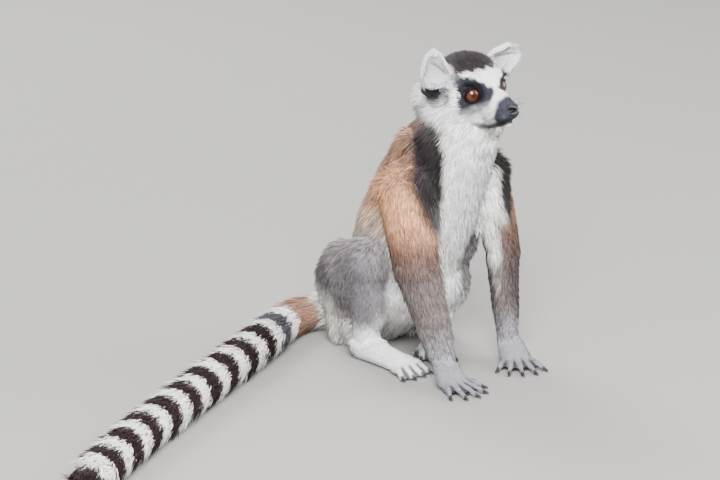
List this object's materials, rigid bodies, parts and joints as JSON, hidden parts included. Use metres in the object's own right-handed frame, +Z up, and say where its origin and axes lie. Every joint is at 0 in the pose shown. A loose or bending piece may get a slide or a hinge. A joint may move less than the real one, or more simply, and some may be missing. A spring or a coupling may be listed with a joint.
{
  "type": "ring-tailed lemur",
  "caption": "Life-size still model of an adult ring-tailed lemur sitting on its haunches with both hands on the floor and its long tail laid out to one side.",
  "frame": {"origin": "on the floor, on the small flat under the rump", "axes": "+Z up; the animal faces -Y and its left side is +X"},
  "size_m": [0.6021, 0.2912, 0.3445],
  "materials": {
    "head": "short dense fur",
    "nose": "bare leathery nose pad",
    "eye": "wet glossy eyeball",
    "ear": "thin furred ear",
    "neck": "long soft fur",
    "chest": "long soft fur",
    "belly": "long soft fur",
    "rump": "long soft fur",
    "upper_arm": "dense fur",
    "forearm": "short grizzled fur",
    "hand": "short fur over leathery digits",
    "leg": "dense fur",
    "tail": "fluffy ringed fur"
  },
  "bodies": {
    "root": {"belly": "belly", "chest": "chest", "ear_left": "ear", "ear_right": "ear", "eye_left": "eye", "eye_right": "eye", "forearm_left": "forearm", "forearm_right": "forearm", "hand_left": "hand", "hand_right": "hand", "head": "head", "leg_left": "leg", "leg_right": "leg", "neck": "neck", "nose": "nose", "rump": "rump", "tail_1": "tail", "tail_2": "tail", "tail_3": "tail", "tail_4": "tail", "tail_5": "tail", "tail_6": "tail", "tail_7": "tail", "upper_arm_left": "upper_arm", "upper_arm_right": "upper_arm"}
  },
  "joints": []
}
